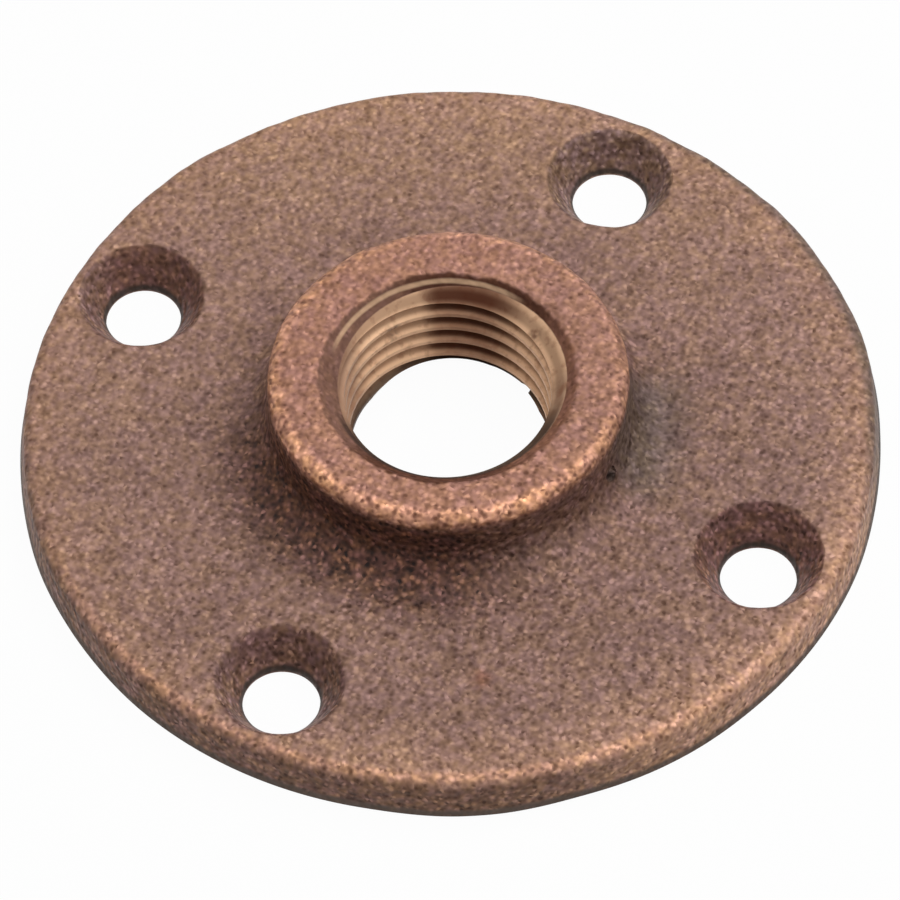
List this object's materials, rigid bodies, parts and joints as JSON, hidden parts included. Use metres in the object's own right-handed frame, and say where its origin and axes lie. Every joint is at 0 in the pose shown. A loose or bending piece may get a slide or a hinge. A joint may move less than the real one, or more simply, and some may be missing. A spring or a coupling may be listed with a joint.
{
  "type": "threaded floor flange",
  "caption": "Round cast bronze floor flange with a short hub threaded for a pipe and countersunk screw holes near its rim.",
  "frame": {"origin": "centre of the flat back face", "axes": "+Z along the pipe's axis, out of the hub; +X through the middle of a screw hole"},
  "size_m": [0.0762, 0.0762, 0.0108],
  "materials": {
    "cast_bronze": "sand-cast bronze with a brown patina, rough all over, with a machined thread in the bore"
  },
  "bodies": {
    "root": {"floor_flange": "cast_bronze"}
  },
  "joints": []
}
